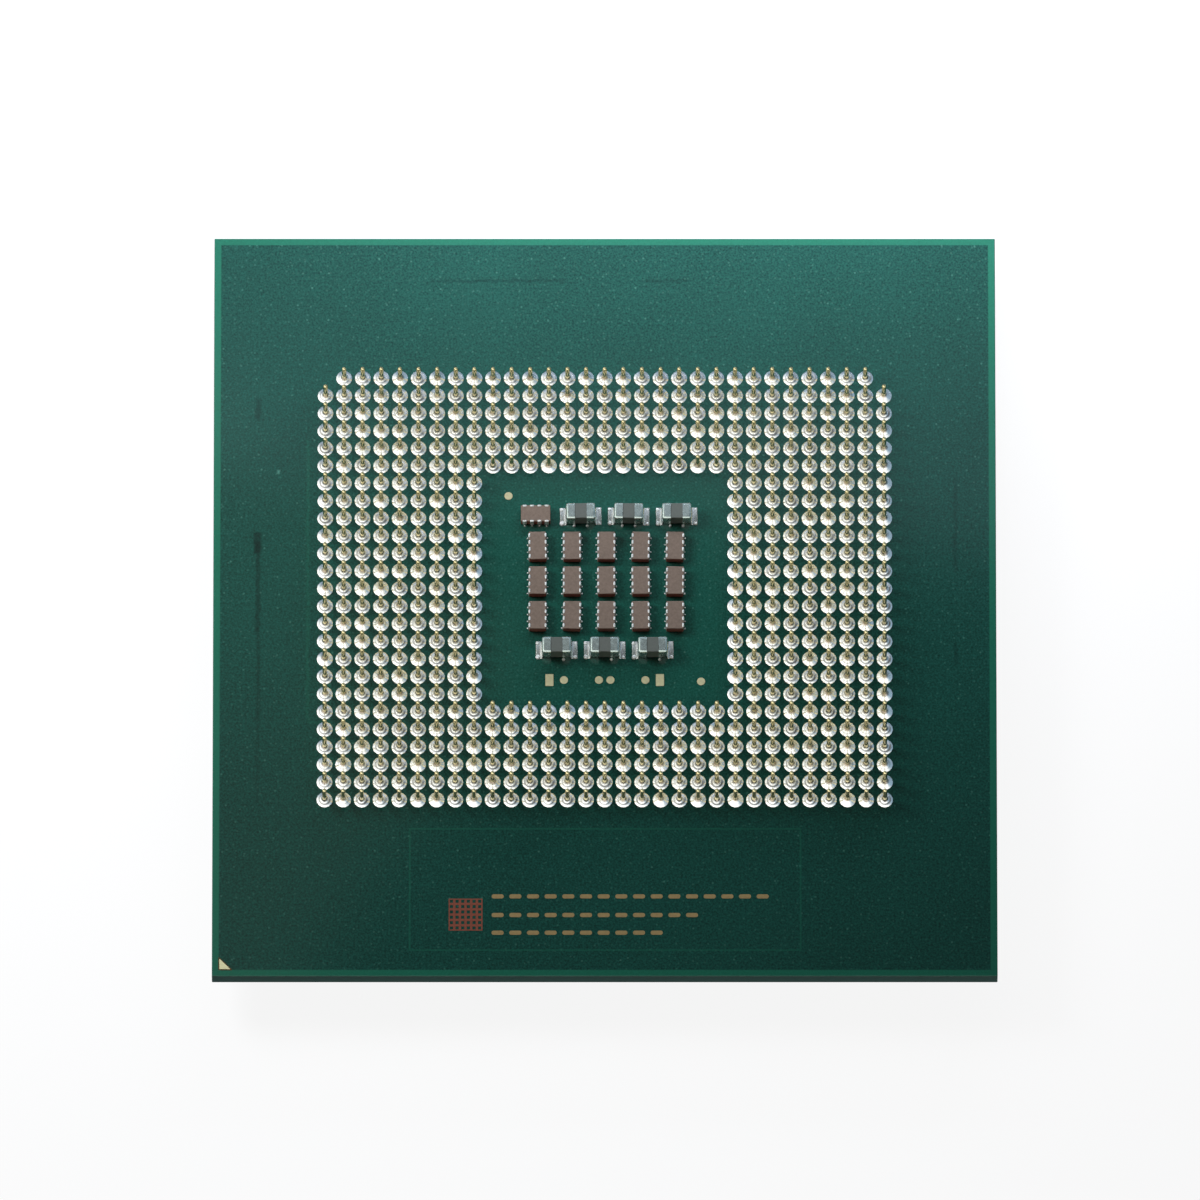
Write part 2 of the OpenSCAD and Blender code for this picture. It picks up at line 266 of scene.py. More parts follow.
# Finishes with one grain: the settings and the colour of each, the share by which the colour drifts, the
# grain in millimetres, the roughness from and to, the height of its bump in millimetres, and what the
# shader is given besides. A grain of a few hundredths of a millimetre is drawn coarser, to show.
FINISHES = {
    # The solder mask on the lid's side of the board: even green with a half gloss
    "solder_mask_lid_side": ("board", "mask_colour", 0.5, 0.3, (0.2, 0.35), 0.006, {"IOR": 1.45}),
    # Reflowed tin alloy solder at the capacitors: white, smooth and slightly frosted
    "solder_reflowed_tin_alloy": ("pins", "solder_colour", 0.05, 0.25, (0.3, 0.4), 0.002, {"Metallic": 0.2}),
    # Solder spread thin on the pads of the chip capacitors: greyer and duller than a full joint
    "solder_wetted_pad": ("pins", "bed_colour", 0.12, 0.2, (0.2, 0.3), 0.002, {"Metallic": 0.75}),
    # Electroplated gold on the pins: warm, bright at the tip, with fine drawing marks
    "gold_electroplated": ("pins", "gold_colour", 0.1, 0.12, (0.14, 0.24), 0.003, {"Metallic": 1.0}),
    # Fired dielectric of the chip capacitors: smooth neutral grey with a dull sheen
    "ceramic_fired_grey": ("capacitors", "grey_colour", 0.2, 0.15, (0.6, 0.7), 0.003, {"IOR": 1.45}),
    # Electroplated matt tin on the metal ends: white metal with a soft grain
    "tin_electroplated": ("capacitors", "tin_colour", 0.2, 0.25, (0.2, 0.3), 0.0006, {"Metallic": 0.8}),
    # Tin on the side terminals that has flowed with the solder: white and softly rounded
    "tin_flowed_lobes": ("capacitors", "lobe_colour", 0.1, 0.1, (0.35, 0.45), 0.003, {"Metallic": 0.5}),
    # Flash gold over nickel on the bare pads: pale, matt and slightly grained
    "gold_flash_pads": ("marks", "pad_colour", 0.18, 0.18, (0.42, 0.55), 0.004, {"Metallic": 0.6}),
    # Flash gold on the corner mark: pale yellow, its near-white colour a painted reflection of a bright
    # light on the shiny gold
    "gold_flash_mark": ("marks", "mark_reflection_paint_colour", 0.05, 0.15, (0.35, 0.5), 0.003, {"Metallic": 0.05}),
    # Bare resin in the mask opening round the corner mark: dull brown
    "laminate_bare_resin": ("marks", "opening_colour", 0.2, 0.08, (0.5, 0.65), 0.004, {"IOR": 1.5}),
    # Laser-opened copper bars: dull tan metal, burnt slightly uneven
    "copper_print_tan": ("marks", "print_colour", 0.25, 0.12, (0.45, 0.6), 0.003, {"Metallic": 0.3}),
    # Laser-opened copper square: redder and more burnt than the bars
    "copper_print_red": ("marks", "square_colour", 0.28, 0.15, (0.45, 0.6), 0.003, {"Metallic": 0.3}),
    # Nickel-plated copper lid: warm grey metal, bead-blasted to an even satin
    "nickel_plated_satin": ("lid", "nickel_colour", 0.2, 0.6, (0.28, 0.45), 0.015, {"Metallic": 1.0}),
    # Cured silicone bead: dark, dull and slightly lumpy
    "silicone_cured_bead": ("lid", "sealant_colour", 0.3, 0.6, (0.5, 0.7), 0.02, {"IOR": 1.43}),
    # Filled thermal paste: pale grey and grainy
    "thermal_paste_filled": ("lid", "paste_colour", 0.12, 0.2, (0.5, 0.7), 0.01, {"IOR": 1.45}),
    # Lapped silicon: dark blue-grey and almost polished
    "silicon_lapped": ("lid", "silicon_colour", 0.06, 0.5, (0.12, 0.2), 0.001, {"Metallic": 0.8}),
    # Cured underfill epoxy: dark brown with a wet sheen
    "underfill_cured_epoxy": ("lid", "resin_colour", 0.2, 0.4, (0.25, 0.4), 0.006, {"IOR": 1.55}),
}


def mottled(name, group, hue, spread, grain, rough, bump, constants):
    """A finish of the table: its colour and roughness drift with one grain, which also bumps it."""
    base = getattr(getattr(bpy.context.scene, f"package_{group}"), hue)
    material, add, place = new_material(name)
    noise = add(
        "TexNoise", {"Vector": place, "Scale": 1 / grain, "Detail": 3.0, "Roughness": 0.6},
    ).outputs["Fac"]
    paint = add("Mix", {0: noise, 6: tone(base, 1 - spread), 7: tone(base, 1 + spread)}, data_type="RGBA")
    roughness = add("MapRange", (noise, *NOISE_SPAN, *rough))
    return finish_material(material, paint, roughness, noise, bump, constants)


MADE_MATERIALS = {}


def material_of(finish):
    """The material of a finish, made once: by its own function, or from its row in the table."""
    if finish not in MADE_MATERIALS:
        MADE_MATERIALS[finish] = finish() if callable(finish) else mottled(finish, *FINISHES[finish])
    return MADE_MATERIALS[finish]


def kept_mesh(bm, name):
    """A mesh of a bmesh, which is freed."""
    mesh = bpy.data.meshes.new(name)
    bm.to_mesh(mesh)
    bm.free()
    return mesh


def piece(name, bm, finishes, slot=None, nodes=(), smooth=True, crease=70):
    """Make a piece of a bmesh that is in millimetres, on body root, and hide the frame nodes that it takes
    the place of.
    """
    bmesh.ops.remove_doubles(bm, verts=bm.verts, dist=WELD)
    bmesh.ops.recalc_face_normals(bm, faces=bm.faces)
    for face in bm.faces:
        face.smooth = smooth
    for edge in bm.edges:
        edge.smooth = edge.calc_face_angle(math.pi) < math.radians(crease)
    bmesh.ops.scale(bm, vec=(MM, MM, MM), verts=bm.verts)
    mesh = kept_mesh(bm, name)
    for finish in finishes:
        mesh.materials.append(material_of(finish))
    made = bpy.data.objects.new(name, mesh)
    bpy.context.scene.collection.objects.link(made)
    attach(made, "root")
    if nodes:
        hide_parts(*nodes)


def seated(name, bm, seat, finish, slot, node, **shading):
    """Put a part of a capacitor on its seat, and make it a piece in place of one frame node, which is
    hidden.
    """
    bmesh.ops.transform(bm, matrix=seat, verts=bm.verts)
    piece(name, bm, (finish,), slot, [node], **shading)


def block(bm, low, high):
    """A box between two corners."""
    low, high = Vector(low), Vector(high)
    matrix = Matrix.Translation((low + high) / 2) @ Matrix.Diagonal((*(high - low), 1.0))
    return bmesh.ops.create_cube(bm, size=1.0, matrix=matrix)["verts"]


def edges_of(verts):
    """The edges that join these vertices to each other, in a fixed order."""
    chosen = set(verts)
    around = dict.fromkeys(e for v in verts for e in v.link_edges)
    return [e for e in around if set(e.verts) <= chosen]


def face_of(bm, verts):
    """The face between these vertices."""
    chosen = set(verts)
    return next(f for f in bm.faces if set(f.verts) <= chosen)


def bevel(bm, geom, offset, segments, affect="EDGES"):
    """Round edges or corners, and give back the new vertices."""
    return bmesh.ops.bevel(
        bm, geom=geom, offset=offset, offset_type="OFFSET", segments=segments,
        profile=0.5, affect=affect, material=-1, clamp_overlap=True,
    )["verts"]


def round_block(bm, low, high, radius):
    """A box with all its edges rounded."""
    bevel(bm, edges_of(block(bm, low, high)), radius, segments=2)


def flat_bar(bm, centre, wide, tall, corner, segments):
    """A flat bar with rounded corners, of which the face is given back."""
    spot = Matrix.Translation(centre) @ Matrix.Diagonal((wide / 2, tall / 2, 1, 1))
    bar = bmesh.ops.create_grid(bm, x_segments=1, y_segments=1, size=1.0, matrix=spot)["verts"]
    return face_of(bm, bevel(bm, bar, corner, segments, affect="VERTICES"))


def lift(bm, faces, thick):
    """Raise flat faces to a thickness, and give back their raised vertices."""
    made = bmesh.ops.extrude_face_region(bm, geom=faces)["geom"]
    raised = [g for g in made if isinstance(g, bmesh.types.BMVert)]
    bmesh.ops.translate(bm, vec=(0, 0, thick), verts=raised)
    return raised


def close_holes(bm):
    """Fill every open edge loop."""
    bmesh.ops.holes_fill(bm, edges=[e for e in bm.edges if e.is_boundary], sides=0)


def turned(profile, segments):
    """A closed mesh of a profile of radii and heights, turned about Z."""
    bm = bmesh.new()
    verts = [bm.verts.new((radius, 0.0, height)) for radius, height in profile]
    edges = [bm.edges.new(pair) for pair in zip(verts, verts[1:])]
    bmesh.ops.spin(
        bm, geom=verts + edges, cent=(0, 0, 0), axis=UP, dvec=(0, 0, 0),
        angle=FULL_TURN, steps=segments, use_merge=True,
    )
    bmesh.ops.remove_doubles(bm, verts=bm.verts, dist=WELD)
    close_holes(bm)
    bmesh.ops.recalc_face_normals(bm, faces=bm.faces)
    return bm


def copy_in(bm, mesh, matrix):
    """Add a copy of a scratch mesh to a bmesh."""
    mesh.transform(matrix)
    bm.from_mesh(mesh)
    mesh.transform(matrix.inverted())


def move_in(bm, part, matrix):
    """Add a scratch bmesh, which is freed, to a bmesh."""
    mesh = kept_mesh(part, "scratch")
    copy_in(bm, mesh, matrix)
    bpy.data.meshes.remove(mesh)


def drawn_size(draw, spans):
    """A random size along each axis, each within its span."""
    return Matrix.Diagonal((*(draw.uniform(*span) for span in spans), 1.0))


def pin_places(settings):
    """Places of the pins on the board, row by row from the front left."""
    pitch = settings.pitch / MM
    middle = (PIN_LOW + PIN_HIGH) / 2
    half_x, half_y = (settings.columns - 1) // 2, (settings.rows - 1) // 2
    places = []
    for row in range(-half_y, half_y + 1):
        for column in range(-half_x, half_x + 1):
            in_bay = max(abs(row), abs(column)) < settings.bay_steps
            bare_corner = row == half_y and abs(column) == half_x
            if not in_bay and not bare_corner:
                places.append(Vector((middle.x + column * pitch, middle.y + row * pitch, TOP)))
    return places


# Rubbed streaks, from the board's centre: X, Y, half width and half height in millimetres, and strength.
STREAKS = (
    (-23.64, 14.2, 0.13, 0.75, 0.45),
    (-23.65, 4.6, 0.2, 0.7, 0.6),
    (-23.62, 1.4, 0.12, 3.2, 0.5),
    (-23.6, -4.9, 0.09, 3.3, 0.35),
    (-23.6, -11.2, 0.07, 3.0, 0.2),
    (-7.3, 23.6, 4.6, 0.07, 0.35),
    (4.3, 23.6, 1.5, 0.06, 0.35),
    (23.9, 5.9, 0.08, 3.3, 0.3),
    (23.9, -3.4, 0.1, 0.7, 0.3),
)
# Traces that stand out faintly under the mask, and one fleck of dust, measured the same way.
TRACES = (
    (-20.23, 1.9, 0.04, 10.1, 0.3),
    (-19.48, -8.4, 0.75, 0.04, 0.3),
)
DUST = ((-22.28, 9.7, 0.06, 0.1, 0.8),)
# In millimetres: where the edge of such a mark starts and ends, how far it wanders, and over what length.
MARK_EDGE = (-0.05, 0.12)
WANDER_REACH = 0.4
WANDER_GRAIN = 0.7
# Specks in the mask: size of the cell that holds one, in millimetres, and how clear the clearest is.
SPECKS = ((1.1, 0.5), (0.45, 0.25))
# Radii of a speck's core and edge, in millimetres, and the draws at which it begins to show and is clear.
SPECK_RADII = (0.033, 0.094)
SPECK_CHANCE = (0.4, 0.95)
# Mask: grain and slow drift in millimetres, the drift's share, darkest and lightest values, roughness.
MASK_GRAIN = 0.14
MASK_DRIFT = 9.0
DRIFT_SHARE = 0.15
MASK_SPAN = (0.34, 0.81)
MASK_ROUGH = (0.08, 0.16)
# How far inside the bay its paler green is full, in millimetres, and how much of it shows.
BAY_FADE = 1.2
BAY_SHARE = 0.16
# Middle of the marking window, its line's edge in shares of half its width, and how much of it shows.
WINDOW_CENTRE = (0.03, -20.42)
LINE_EDGE = (0.4, 1.3)
LINE_SHARE = 0.4
# Half the width over which the board's border begins, in millimetres.
BORDER_EDGE = 0.04


def solder_mask():
    """Cured epoxy solder mask on a copper-clad laminate.

    The copper makes it deep green, the bare border shows the paler laminate, and the surface is half
    gloss with a fine grain. The grain of a few hundredths of a millimetre is drawn coarser, to show.
    """
    s = bpy.context.scene.package_board
    material, add, place = new_material("solder_mask_cured_epoxy")
    grain = add(
        "TexNoise", {"Vector": place, "Scale": 1 / MASK_GRAIN, "Detail": 2.0, "Roughness": 0.7},
    ).outputs["Fac"]
    drift = add("TexNoise", {"Vector": place, "Scale": 1 / MASK_DRIFT, "Detail": 2.0}).outputs["Fac"]
    uneven = add("Math", (drift, DRIFT_SHARE, grain), operation="MULTIPLY_ADD")
    spread = add("MapRange", (uneven, *MASK_SPAN, 0.0, 1.0))
    green, pale = s.mask_colour, s.border_colour
    paint = add("Mix", {0: spread, 6: tone(green, 0.5), 7: tone(green, 1.5)}, data_type="RGBA")
    # Paler, greener mask in the bay
    half_bay = s.bay_width / 2 / MM
    beyond = outside(add, place, FIELD_CENTRE.xy, (half_bay, half_bay))
    in_bay = add("MapRange", (beyond, -BAY_FADE, 0.0, BAY_SHARE, 0.0))
    paint = add("Mix", {0: in_bay, 6: paint, 7: tone(pale)}, data_type="RGBA")
    # Pale specks of filler, about a tenth of a millimetre across, few of them clear and more of them faint
    for cell, clear in SPECKS:
        cells = add("TexVoronoi", {"Vector": place, "Scale": 1 / cell}, voronoi_dimensions="2D").outputs
        near = add("MapRange", (cells["Distance"], *(radius / cell for radius in SPECK_RADII), 1.0, 0.0))
        chance = add("MapRange", (cells["Color"], *SPECK_CHANCE, 0.0, clear))
        speck = add("Math", (near, chance), operation="MULTIPLY")
        paint = add("Mix", {0: speck, 6: paint, 7: tone(s.speck_colour)}, data_type="RGBA")
    # Streaks, traces and dust, each a box with a ragged edge
    wander = add("TexNoise", {"Vector": place, "Scale": 1 / WANDER_GRAIN, "Detail": 3.0}).outputs["Color"]
    reach = (WANDER_REACH, WANDER_REACH, 0.0)
    ragged = add("VectorMath", (wander, reach, place), operation="MULTIPLY_ADD")
    middle = WANDER_REACH / 2
    marks = [(mark, s.streak_colour) for mark in STREAKS]
    marks += [(mark, pale) for mark in TRACES]
    marks += [(mark, s.speck_colour) for mark in DUST]
    for (x, y, half_x, half_y, strength), shown in marks:
        beyond = outside(add, ragged, (x + middle, y + middle), (half_x, half_y))
        inside = add("MapRange", (beyond, *MARK_EDGE, strength, 0.0))
        paint = add("Mix", {0: inside, 6: paint, 7: tone(shown)}, data_type="RGBA")
    # Thin line round the marking window
    half_window = (s.window_width / 2 / MM, s.window_height / 2 / MM)
    off_line = add("Math", (outside(add, place, WINDOW_CENTRE, half_window),), operation="ABSOLUTE")
    half_line = s.window_line / 2 / MM
    on_line = add("MapRange", (off_line, *(edge * half_line for edge in LINE_EDGE), LINE_SHARE, 0.0))
    paint = add("Mix", {0: on_line, 6: paint, 7: tone(pale)}, data_type="RGBA")
    # Border without copper
    inner = BOARD_HIGH.x - s.border_width / MM
    beyond = outside(add, place, (0, 0), (inner, inner))
    bare = add("MapRange", (beyond, -BORDER_EDGE, BORDER_EDGE, 0.0, 1.0))
    border = add("Mix", {0: grain, 6: tone(pale, 0.75), 7: tone(pale, 1.25)}, data_type="RGBA")
    paint = add("Mix", {0: bare, 6: paint, 7: border}, data_type="RGBA")
    roughness = add("MapRange", (grain, *NOISE_SPAN, *MASK_ROUGH))
    return finish_material(material, paint, roughness, grain, bump=0.002, constants={"IOR": 1.45})


# In millimetres: distance between the laminate's glass layers, the fray of their lines, how far it moves
# a line, and where a line begins and is full.
LAYER_STEP = 0.15
FRAY_GRAIN = 0.25
FRAY_REACH = 0.03
LAYER_LINE = (0.05, 0.085)


def milled_edge():
    """Milled edge of the laminate: dull dark green with the pale lines of its glass layers."""
    dark = bpy.context.scene.package_board.edge_colour
    material, add, place = new_material("laminate_milled_edge")
    height = add("SeparateXYZ", (place,)).outputs["Z"]
    fray = add("TexNoise", {"Vector": place, "Scale": 1 / FRAY_GRAIN, "Detail": 3.0}).outputs["Fac"]
    layers = add("Math", (height, LAYER_STEP / 2), operation="PINGPONG")
    shifted = add("Math", (fray, FRAY_REACH, layers), operation="MULTIPLY_ADD")
    stripe = add("MapRange", (shifted, *LAYER_LINE, 0.0, 1.0))
    paint = add("Mix", {0: stripe, 6: tone(dark, 0.7), 7: tone(dark, 1.7)}, data_type="RGBA")
    constants = {"Specular IOR Level": 0.2}
    return finish_material(material, paint, roughness=0.75, height=fray, bump=0.01, constants=constants)


# Solder at the pins, in millimetres: grain of its frost, drawn coarser to show, height of the painted dark
# ring, a painted reflection of the dark overhead, the ring's core and edge from there, and the heights
# between which the stain of the gold comes in.
FROST_GRAIN = 0.3
RING_HEIGHT = 0.09
RING_EDGE = (0.008, 0.026)
STAIN_START, STAIN_END = 0.16, 0.28
# Share without a ring, strength of the clearest ring and of the stain, span of the frost, its roughness.
RING_NONE = 0.25
RING_CLEAR = 0.45
STAIN_SHARE = 0.85
FROST_SPAN = (0.35, 0.65)
FROST_ROUGH = (0.22, 0.3)


def foot_solder():
    """The same solder round the pins: white on the shoulder, with a painted dark ring that stands in for the
    dark overhead mirrored there, and stained tan where it wets the gold foot.
    """
    s = bpy.context.scene.package_pins
    material, add, place = new_material("solder_reflowed_pin_foot")
    height = add("SeparateXYZ", (place,)).outputs["Z"]
    frost = add("TexNoise", {"Vector": place, "Scale": 1 / FROST_GRAIN, "Detail": 2.0}).outputs["Fac"]
    solder = s.solder_colour
    paint = add("Mix", {0: frost, 6: tone(solder, 0.9), 7: tone(solder, 1.08)}, data_type="RGBA")
    # Painted reflection: a dark ring at the shoulder's height stands in for the dark overhead mirrored
    # there. One random value for each joint sets how strongly its ring shows
    steps = add("VectorMath", (place, FIELD_CENTRE), operation="SUBTRACT")
    steps = add("VectorMath", {0: steps, "Scale": MM / s.pitch}, operation="SCALE")
    steps = add("VectorMath", (steps, (0.5, 0.5, 0.0)), operation="ADD")
    steps = add("VectorMath", (steps,), operation="FLOOR")
    fate = add("TexWhiteNoise", {"Vector": steps}).outputs["Value"]
    strength = add("MapRange", (fate, RING_NONE, 1.0, 0.0, RING_CLEAR))
    off_ring = add("Math", (height, TOP + RING_HEIGHT), operation="SUBTRACT")
    off_ring = add("Math", (off_ring,), operation="ABSOLUTE")
    on_ring = add("MapRange", (off_ring, *RING_EDGE, 1.0, 0.0))
    ring = add("Math", (on_ring, strength), operation="MULTIPLY")
    paint = add("Mix", {0: ring, 6: paint, 7: tone(s.ring_reflection_paint_colour)}, data_type="RGBA")
    stained = add("MapRange", (height, TOP + STAIN_START, TOP + STAIN_END, 0.0, STAIN_SHARE))
    paint = add("Mix", {0: stained, 6: paint, 7: tone(s.foot_colour)}, data_type="RGBA")
    roughness = add("MapRange", (frost, *FROST_SPAN, *FROST_ROUGH))
    return finish_material(material, paint, roughness, frost, bump=0.003, constants={"Metallic": 0.96})


# Brown ceramic, in millimetres: grain of its pits, drawn coarser to show, and where the top's tone ends.
PIT_GRAIN = 0.18
TOP_SKIN = (0.035, 0.01)


def brown_ceramic():
    """Fired barium titanate: matt grey-brown on the pressed top, redder on the cut sides, finely pitted."""
    s = bpy.context.scene.package_capacitors
    material, add, place = new_material("ceramic_fired_brown")
    height = add("SeparateXYZ", (place,)).outputs["Z"]
    grain = add(
        "TexNoise", {"Vector": place, "Scale": 1 / PIT_GRAIN, "Detail": 3.0, "Roughness": 0.7},
    ).outputs["Fac"]
    top, side = s.brown_colour, s.brown_side_colour
    top_paint = add("Mix", {0: grain, 6: tone(top, 0.6), 7: tone(top, 1.4)}, data_type="RGBA")
    side_paint = add("Mix", {0: grain, 6: tone(side, 0.7), 7: tone(side, 1.3)}, data_type="RGBA")
    crown = box_mm("array_capacitor_1")[1].z
    on_top = add("MapRange", (height, *(crown - depth for depth in TOP_SKIN), 0.0, 1.0))
    paint = add("Mix", {0: on_top, 6: side_paint, 7: top_paint}, data_type="RGBA")
    return finish_material(material, paint, roughness=0.7, height=grain, bump=0.004, constants={"IOR": 1.45})


# How far up or down a face of the board looks that belongs to its top or underside.
FLAT_ENOUGH = 0.7


class PACKAGE_OT_board(bpy.types.Operator):
    """Make the laminate board with its solder mask"""
    bl_idname = "package.board"
    bl_label = "Board"

    def execute(self, context):
        s = context.scene.package_board
        bm = bmesh.new()
        round_block(bm, BOARD_LOW, BOARD_HIGH, s.edge_round / MM)
        for face in bm.faces:
            upward = face.normal.z
            face.material_index = 0 if upward > FLAT_ENOUGH else 2 if upward < -FLAT_ENOUGH else 1
        finishes = (solder_mask, milled_edge, "solder_mask_lid_side")
        piece("laminate_board", bm, finishes, "solder_mask", ["substrate"], smooth=False)
        return {"FINISHED"}


# Joint profiles as radius and height, outside to pin: ringed, full and drawn-up solder.
JOINT_PROFILES = (
    ((0.55, 0.0), (0.5, 0.035), (0.39, 0.09), (0.335, 0.093), (0.22, 0.17), (0.15, 0.38)),
    ((0.55, 0.0), (0.49, 0.04), (0.36, 0.1), (0.29, 0.103), (0.2, 0.18), (0.15, 0.38)),
    ((0.55, 0.0), (0.5, 0.035), (0.385, 0.088), (0.31, 0.082), (0.21, 0.17), (0.15, 0.38)),
    ((0.55, 0.0), (0.47, 0.05), (0.33, 0.115), (0.22, 0.2), (0.15, 0.38)),
    ((0.55, 0.0), (0.46, 0.055), (0.3, 0.125), (0.15, 0.35)),
)
# Share of each kind, spans of its size along each axis, its height and how far it bulges to one side.
JOINT_SHARES = (0.28, 0.2, 0.2, 0.18, 0.14)
JOINT_SIZES = ((0.97, 1.01), (0.97, 1.01), (0.88, 1.0))
JOINT_TALL = 0.4
JOINT_BULGE = 0.025
JOINT_SEGMENTS = 14
PIN_SEGMENTS = 8
# Share of a tip's rounding at which its shoulder lies.
TIP_SHOULDER = 0.3


class PACKAGE_OT_pin_joints(bpy.types.Operator):
    """Make the solder joints round the feet of the pins, each a little different"""
    bl_idname = "package.pin_joints"
    bl_label = "Pin joints"

    def execute(self, context):
        s = context.scene.package_pins
        draw = random.Random(s.seed)
        joints = bmesh.new()
        kinds = [kept_mesh(turned(profile, JOINT_SEGMENTS), "joint_kind") for profile in JOINT_PROFILES]
        for place in pin_places(s):
            mesh = draw.choices(kinds, JOINT_SHARES)[0]
            turn = Matrix.Rotation(draw.uniform(0, FULL_TURN), 4, "Z")
            size = drawn_size(draw, JOINT_SIZES)
            first = len(joints.verts)
            copy_in(joints, mesh, Matrix.Translation(place) @ turn @ size)
            joints.verts.ensure_lookup_table()
            lean = Vector((draw.uniform(-1, 1), draw.uniform(-1, 1), 0)) * JOINT_BULGE
            for vert in joints.verts[first:]:
                vert.co += lean * math.sin(math.pi * min(1.0, (vert.co.z - TOP) / JOINT_TALL))
        for mesh in kinds:
            bpy.data.meshes.remove(mesh)
        piece("pin_joints", joints, (foot_solder,), "solder", ["pin_solder"])
        return {"FINISHED"}


class PACKAGE_OT_pins(bpy.types.Operator):
    """Make the gold-plated contact pins with rounded tips"""
    bl_idname = "package.pins"
    bl_label = "Contact pins"

    def execute(self, context):
        s = context.scene.package_pins
        radius = (PIN_HIGH.x - PIN_LOW.x - (s.columns - 1) * s.pitch / MM) / 2
        tall = PIN_HIGH.z - TOP
        tip = s.tip_round / MM
        shoulder = TIP_SHOULDER * tip
        profile = (
            (radius, 0.0), (radius, tall - tip), (radius - shoulder, tall - shoulder), (radius - tip, tall),
        )
        mesh = kept_mesh(turned(profile, PIN_SEGMENTS), "pin_kind")
        pins = bmesh.new()
        for place in pin_places(s):
            copy_in(pins, mesh, Matrix.Translation(place))
        bpy.data.meshes.remove(mesh)
        piece("gold_pins", pins, ("gold_electroplated",), "gold_plating", ["contact_pins"])
        return {"FINISHED"}


# Largest turn of a part, in degrees.
CAP_TURN = 1.2
# Terminals of an eight-terminal capacitor along one side, in millimetres from its middle.
LOBE_PLACES = (-0.75, -0.25, 0.25, 0.75)
# Beads at those terminals, in millimetres: distance from a terminal and radii along each axis.
LOBE_BEAD_OUT = 0.055
LOBE_BEADS = ((0.04, 0.055), (0.045, 0.07), (0.05, 0.08))


def cap_turn(draw):
    """A small turn, as a part settles while its solder sets."""
    return Matrix.Rotation(math.radians(draw.uniform(-CAP_TURN, CAP_TURN)), 4, "Z")


def bead(bm, matrix):
    """A half ball of solder that lies on the board, of radius 1 before the matrix."""
    ball = bmesh.new()
    bmesh.ops.create_uvsphere(ball, u_segments=12, v_segments=8, radius=1.0)
    bmesh.ops.bisect_plane(
        ball, geom=ball.verts[:] + ball.edges[:] + ball.faces[:], dist=NEAR,
        plane_co=(0, 0, 0), plane_no=UP, clear_inner=True,
    )
    close_holes(ball)
    move_in(bm, ball, matrix)


class PACKAGE_OT_array_capacitors(bpy.types.Operator):
    """Make the eight-terminal capacitors: ceramic bodies, terminal lobes and their solder"""
    bl_idname = "package.array_capacitors"
    bl_label = "Array capacitors"

    def execute(self, context):
        s = context.scene.package_capacitors
        draw = random.Random(s.seed)
        joints = bmesh.new()
        for number in range(1, ARRAY_COUNT + 1):
            low, high = box_mm(f"array_capacitor_{number}")
            foot, crown = box_mm(f"array_terminals_{number}")
            centre = Vector(((low.x + high.x) / 2, (low.y + high.y) / 2, 0))
            wide, long = sorted((high - low).xy)
            crosswise = high.x - low.x > high.y - low.y
            turn = Matrix.Rotation(math.pi / 2, 4, "Z") if crosswise else Matrix.Identity(4)
            half_plated = min((crown - foot).xy) / 2
            seat = Matrix.Translation(centre) @ cap_turn(draw) @ turn

            body = bmesh.new()
            corner = Vector((wide / 2, long / 2))
            round_block(body, (*-corner, low.z), (*corner, high.z), s.ceramic_round / MM)
            seated(
                f"array_body_{number}", body, seat, brown_ceramic, "brown_ceramic",
                f"array_capacitor_{number}", smooth=False,
            )
            lobes = bmesh.new()
            for side in ENDS:
                for step in LOBE_PLACES:
                    self.lobe(lobes, side, half_plated, step, foot.z, crown.z, s)
                    spot = Matrix.Translation((side * (half_plated + LOBE_BEAD_OUT), step, TOP))
                    bead(joints, seat @ spot @ drawn_size(draw, LOBE_BEADS))
            seated(
                f"array_lobes_{number}", lobes, seat, "tin_flowed_lobes", "tin_plating",
                f"array_terminals_{number}",
            )
        piece("array_joints", joints, ("solder_reflowed_tin_alloy",), "solder", ["array_solder"])
        return {"FINISHED"}

    def lobe(self, bm, side, half, step, bottom, top, s):
        """A pillow-shaped terminal on one long side."""
        inner, outer = sorted((side * (half - s.lobe_lap / MM), side * half))
        reach = s.lobe_length / MM / 2
        round_block(bm, (inner, step - reach, bottom), (outer, step + reach, top), s.lobe_round / MM)


# Closed cross-section of a chip's solder: distance from the chip's end and height.
FILLET_PROFILE = (
    (-0.02, 0.14), (0.03, 0.075), (0.1, 0.035), (0.2, 0.02), (0.3, 0.022),
    (0.35, 0.045), (0.385, 0.045), (0.41, 0.02), (0.415, 0.0), (-0.02, 0.0),
)
FILLET_MARGIN = 0.05
FILLET_RUN_OUT = 0.09
# Share of that height at the start, and the factor by which it changes along each run.
FILLET_START = 0.4
FILLET_RISES = (2.5, 1.0, 0.4)
# Swollen corners of that solder: distance from the chip's end, from the row's middle, radius and height.
FILLET_CORNERS = ((0.27, -0.5, 0.19, 0.17), (0.3, 0.5, 0.14, 0.12))
# Span of their size at the left and at the right end.
CORNER_SIZES = {-1: (0.8, 1.0), 1: (0.55, 0.75)}
# Stray beads in front of a chip: places along it in each row, radius, distance from it and height by radius.
STRAY_UPPER = (-0.44, 0.44)
STRAY_LOWER = (0.46,)
STRAY_RADIUS = (0.1, 0.12)
STRAY_OUT = 0.1
STRAY_TALL = 1.3
# Flats of a metal end are larger than this, in square millimetres, and an inset keeps their shading flat.
CUP_FLAT = 0.1
CUP_INSET = 0.03


